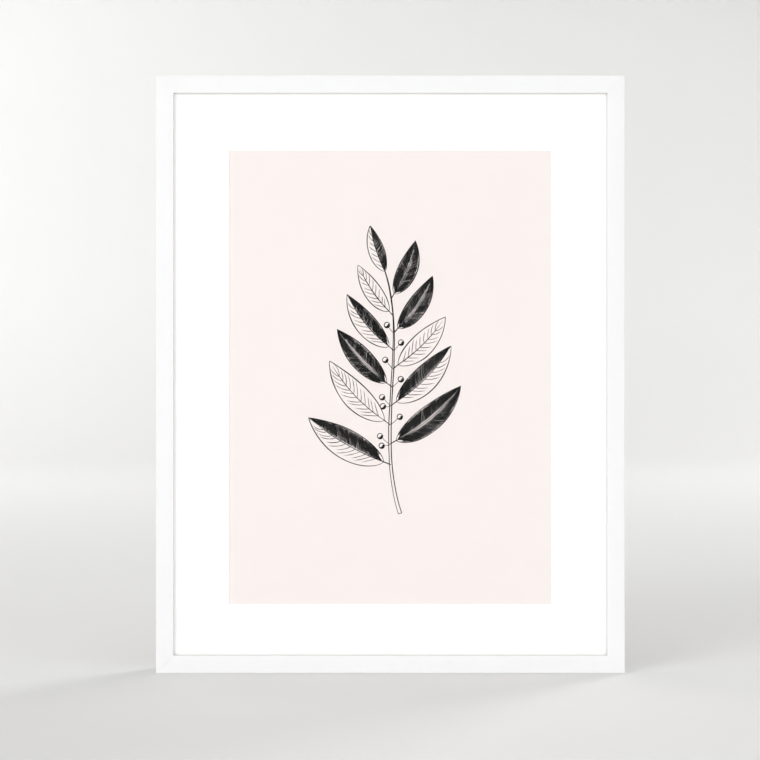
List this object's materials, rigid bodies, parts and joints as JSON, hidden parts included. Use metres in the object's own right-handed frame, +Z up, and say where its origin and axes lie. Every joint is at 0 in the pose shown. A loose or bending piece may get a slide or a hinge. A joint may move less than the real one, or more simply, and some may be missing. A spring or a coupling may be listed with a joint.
{
  "type": "framed art print",
  "caption": "Print in a deep white box frame that stands on its bottom rail, with a clear pane, a wide white mat, a blush sheet with an inked sprig, and a hardboard back held by steel tabs.",
  "frame": {"origin": "on the floor, under the middle of the whole box, from the rails' front to the bumpers' tips", "axes": "+X to the right as seen from the front, +Y back through the frame (the picture faces -Y), +Z up"},
  "size_m": [0.433, 0.0378, 0.552],
  "materials": {
    "white_lacquer": "satin",
    "clear_acrylic": "polished",
    "mat_board": "matte",
    "blush_print": "matte",
    "grey_board": "matte",
    "spacer_wood": "matte",
    "hardboard": "matte",
    "tab_steel": "satin",
    "hanger_brass": "satin",
    "nail_steel": "satin",
    "bumper_rubber": "matte"
  },
  "bodies": {
    "root": {"rail_top": "white_lacquer", "rail_bottom": "white_lacquer", "rail_left": "white_lacquer", "rail_right": "white_lacquer", "glazing": "clear_acrylic", "window_mat": "mat_board", "art_print": "blush_print", "mount_board": "grey_board", "spacer_top": "spacer_wood", "spacer_bottom": "spacer_wood", "spacer_left": "spacer_wood", "spacer_right": "spacer_wood", "backing_board": "hardboard", "tab_left_1": "tab_steel", "tab_left_2": "tab_steel", "tab_left_3": "tab_steel", "tab_right_1": "tab_steel", "tab_right_2": "tab_steel", "tab_right_3": "tab_steel", "tab_top_1": "tab_steel", "tab_top_2": "tab_steel", "tab_bottom_1": "tab_steel", "tab_bottom_2": "tab_steel", "hanger": "hanger_brass", "hanger_nail_left": "nail_steel", "hanger_nail_right": "nail_steel", "bumper_left": "bumper_rubber", "bumper_right": "bumper_rubber", "mitre_nail_top_left": "nail_steel", "mitre_nail_top_right": "nail_steel", "mitre_nail_bottom_left": "nail_steel", "mitre_nail_bottom_right": "nail_steel"}
  },
  "joints": []
}
